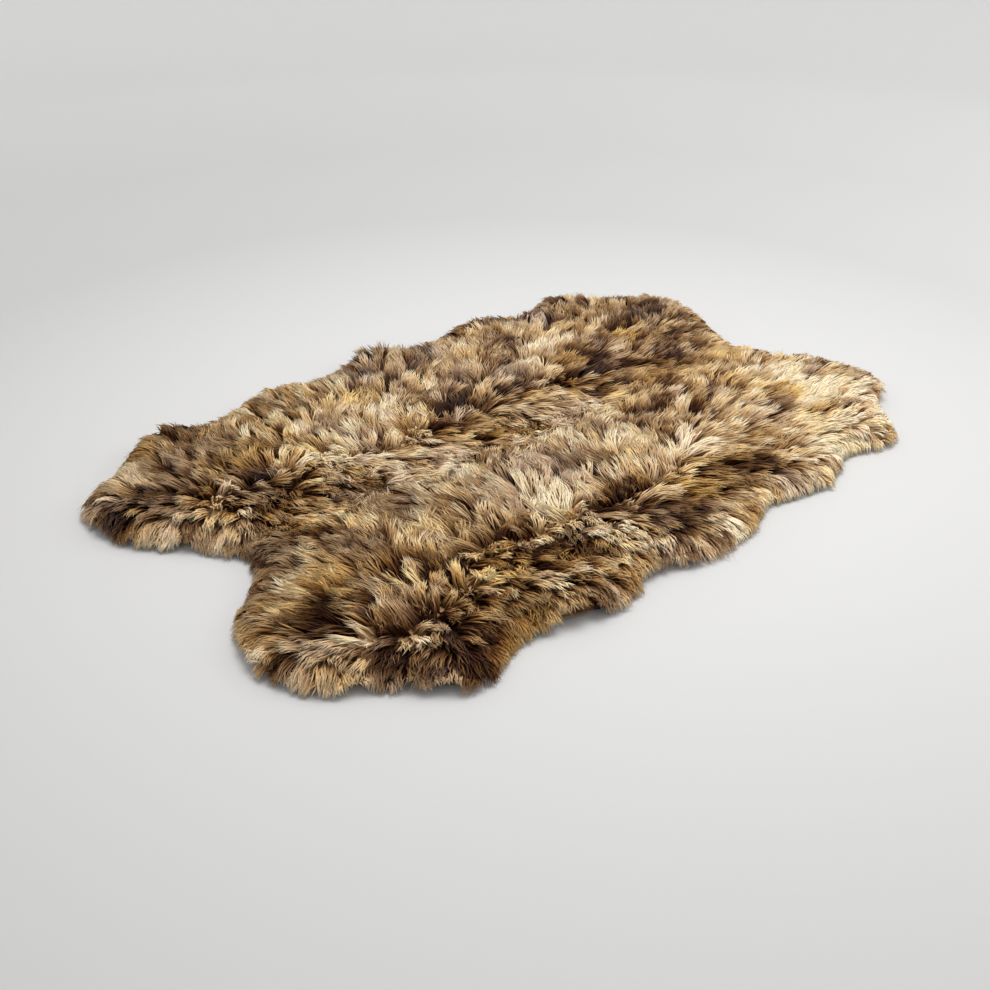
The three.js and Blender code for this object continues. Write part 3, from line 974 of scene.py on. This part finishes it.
dapple = {
    "middle": 0.585,
    # how far the tone drifts over stretches, clumps and flecks, and how broad each is
    "broad": (0.11, 0.065),
    "clump": (0.43, 0.030),
    "fleck": (0.14, 0.011),
    "warmStretch": (0.50, 0.10),     # the same of the warmth
    "warmClump": (0.60, 0.035),
    "own": 0.35,          # how much of a lock's colour follows its own tip, and not its clump's
    "under": 0.4,         # how far along a lock's reach the underwool takes its colour
    "nearer": 0.022,      # how far the patches move to the front on the right half
    "nearerFrom": -0.05,
    "nearerOver": 0.15,
}


def drift(name, x, y, seed):
    amount, size = dapple[name]
    return amount * hills(x, y, size, seed)


def paint(mesh, x, y):
    count = len(x)
    tone = np.full(count, dapple["middle"])
    seenY = y + dapple["nearer"] * smooth((x - dapple["nearerFrom"]) / dapple["nearerOver"])
    warmth = drift("warmStretch", x, y, 61) + drift("warmClump", x, y, 67)
    for kind in patches.values():
        near = np.zeros(count)
        for along, across, size in kind["places"] + kind["added"]:
            away = (x - along) ** 2 + (seenY - across) ** 2
            near = np.maximum(near, np.exp(-away / size ** 2))
        tone += kind["tone"] * near
        warmth += kind["warmth"] * near
    tone += drift("broad", x, y, 62)
    tone += drift("clump", x, y, 63)
    tone += drift("fleck", x, y, 64)
    store(mesh, "tone", "FLOAT", tone)
    store(mesh, "warmth", "FLOAT", warmth)
    for name in ("root", "tip", "ring", "clump", "reach", "bow", "rim", "grow"):
        if name in mesh.attributes:
            mesh.attributes.remove(mesh.attributes[name])


def colourStrands(piece):
    mesh = piece.data
    clump, tip = vectorsOf(mesh, "clump"), vectorsOf(mesh, "tip")
    x, y = (clump * (1 - dapple["own"]) + tip * dapple["own"])[:, :2].T
    paint(mesh, x, y)


def colourUnderwool(piece):
    mesh = piece.data
    x, y = (vectorsOf(mesh, "position") + vectorsOf(mesh, "reach") * dapple["under"])[:, :2].T
    paint(mesh, x, y)


# Finishes

woolColours = [
    (0.00, (0.038, 0.012, 0.004)),
    (0.20, (0.122, 0.052, 0.019)),
    (0.42, (0.312, 0.179, 0.084)),
    (0.64, (0.610, 0.420, 0.235)),
    (0.84, (0.860, 0.665, 0.430)),
    (1.00, (0.965, 0.840, 0.615)),
]

woolLook = {
    "lockTone": 0.07,     # how much the tone differs from lock to lock
    "fineTone": 0.06,     # and along a lock
    "fineScale": 160.0,
    "lockWarmth": 0.6,
    "tipFrom": 0.45,      # a lock is darker than its tone up to about this share of its length squared
    "tipTone": 1.05,      # how much paler its tip is than its root
    "paleTips": 0.6,      # and how much of that pale wool lacks
    "leastTip": 0.3,
    "gold": (1.0, 0.89, 0.60, 1.0),
    "mauve": (1.0, 0.90, 1.0, 1.0),
    "coolUpTo": 1.15,     # the palest wool has no mauve
    "saturation": 1.06,
    "coolGreyer": 0.45,
}


def woolFinish():
    material, net = newFinish("longWool")
    look = woolLook

    def attribute(key):
        return net.node("ShaderNodeAttribute", {"attribute_name": key}, {}, "Fac")

    along, tone, luck = attribute("along"), attribute("tone"), attribute("luck")
    warmth = attribute("warmth") + (luck - 0.5) * look["lockWarmth"]
    place = net.node("ShaderNodeTexCoord", {}, {}, "Object")
    fine = net.noise(place, look["fineScale"], 2.0)
    tipTone = (look["tipTone"] - look["paleTips"] * tone).atLeast(look["leastTip"])
    paler = (along * along - look["tipFrom"]) * tipTone
    shade = tone + (luck - 0.5) * look["lockTone"] + (fine - 0.5) * look["fineTone"] + paler
    colour = net.node("ShaderNodeValToRGB", {"stops": woolColours}, {"Fac": shade})
    rusty = net.tinted(warmth.atLeast(0.0), colour, look["gold"])
    cool = (warmth * -1.0).atLeast(0.0) * (look["coolUpTo"] - shade).atLeast(0.0)
    mauve = net.tinted(cool, rusty, look["mauve"])
    saturation = look["saturation"] - look["coolGreyer"] * cool
    greyed = net.node("ShaderNodeHueSaturation", {}, {"Saturation": saturation, "Color": mauve})
    finishWith(net, {"Specular IOR Level": 0.14}, {"Base Color": greyed, "Roughness": 0.5 + 0.2 * fine})
    return material


underLook = {
    # the underwool's darkness is partly its own darker wool near the roots and partly painted shade deep
    # between the locks
    "toneShare": 1.2,     # it follows the locks' tone, a good deal darker
    "darker": 0.38,
    "patchScale": 14.0,
    "patchTone": 0.15,
    "curlScale": 420.0,
    "curlTone": 0.30,
}


def underwoolFinish():
    material, net = newFinish("underwool")
    look = underLook
    place = net.node("ShaderNodeTexCoord", {}, {}, "Object")
    patch = net.noise(place, look["patchScale"], 3.0)
    curl = net.noise(place, look["curlScale"], 3.0)
    tone = net.node("ShaderNodeAttribute", {"attribute_name": "tone"}, {}, "Fac")
    # darker than the locks' tone: the roots' own darker wool, and painted shade in the deep gaps between
    # locks
    shade = tone * look["toneShare"] - look["darker"]
    shade = shade + (patch - 0.5) * look["patchTone"] + (curl - 0.5) * look["curlTone"]
    colour = net.node("ShaderNodeValToRGB", {"stops": woolColours}, {"Fac": shade})
    raised = net.node("ShaderNodeBump", {}, {"Strength": 0.8, "Distance": 0.002, "Height": curl})
    finishWith(net, {"Specular IOR Level": 0.1}, {
        "Base Color": colour, "Roughness": 0.85 + 0.1 * curl, "Normal": raised})
    return material


suedeLook = {
    "cloudScale": 9.0,
    "napScale": 900.0,
    "napTone": 0.25,
    "grainScale": 260.0,
    "colours": [(0.30, (0.200, 0.120, 0.065)), (0.55, (0.330, 0.215, 0.125)), (0.80, (0.430, 0.300, 0.190))],
}


def leatherFinish():
    material, net = newFinish("suedeHide")
    place = net.node("ShaderNodeTexCoord", {}, {}, "Object")
    cloud = net.noise(place, suedeLook["cloudScale"], 4.0)
    nap = net.noise(place, suedeLook["napScale"], 2.0)
    grain = net.node("ShaderNodeTexVoronoi", {}, {"Vector": place, "Scale": suedeLook["grainScale"]})
    shade = cloud + (nap - 0.5) * suedeLook["napTone"]
    colour = net.node("ShaderNodeValToRGB", {"stops": suedeLook["colours"]}, {"Fac": shade})
    raised = net.node("ShaderNodeBump", {}, {
        "Strength": 0.35, "Distance": 0.0008, "Height": nap + grain * 0.6})
    finishWith(net, {"Specular IOR Level": 0.2}, {
        "Base Color": colour, "Roughness": 0.78 + 0.15 * nap, "Normal": raised})
    return material


def flatArea(points):
    after = np.roll(points, -1, 0)
    return float(abs((points[:, 0] * after[:, 1] - after[:, 0] * points[:, 1]).sum()) / 2)


def triangleCount(piece):
    return sum(len(face.vertices) - 2 for face in piece.data.polygons)


wool, dense, leather = woolFinish(), underwoolFinish(), leatherFinish()
strandTree = addStrandTree("woolStrands")
print("rug: finishes and strand tree are made")

for pelt in pelts:
    hide = addHide(pelt)
    hide.data.materials.append(leather)
    under = addUnderwool(pelt)
    under.data.materials.append(dense)
    grown = []
    for kind in strandSizes:
        strands = addStrands(kind, pelt, under, wool)
        colourStrands(strands)
        layOut(strands, strandSizes[kind]["Cell Shape"])
        grown.append(strands)
    colourUnderwool(under)
    for piece in [under] + grown:
        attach(piece, "root")
    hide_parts("wool_" + pelt)
    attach(hide, "root")
    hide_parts("hide_" + pelt)
    area = flatArea(outlines[pelt][1])
    counts = [triangleCount(piece) for piece in [hide, under] + grown]
    print("rug:", pelt, "triangles", counts, "flat area", round(area, 4))

print("rug: done")
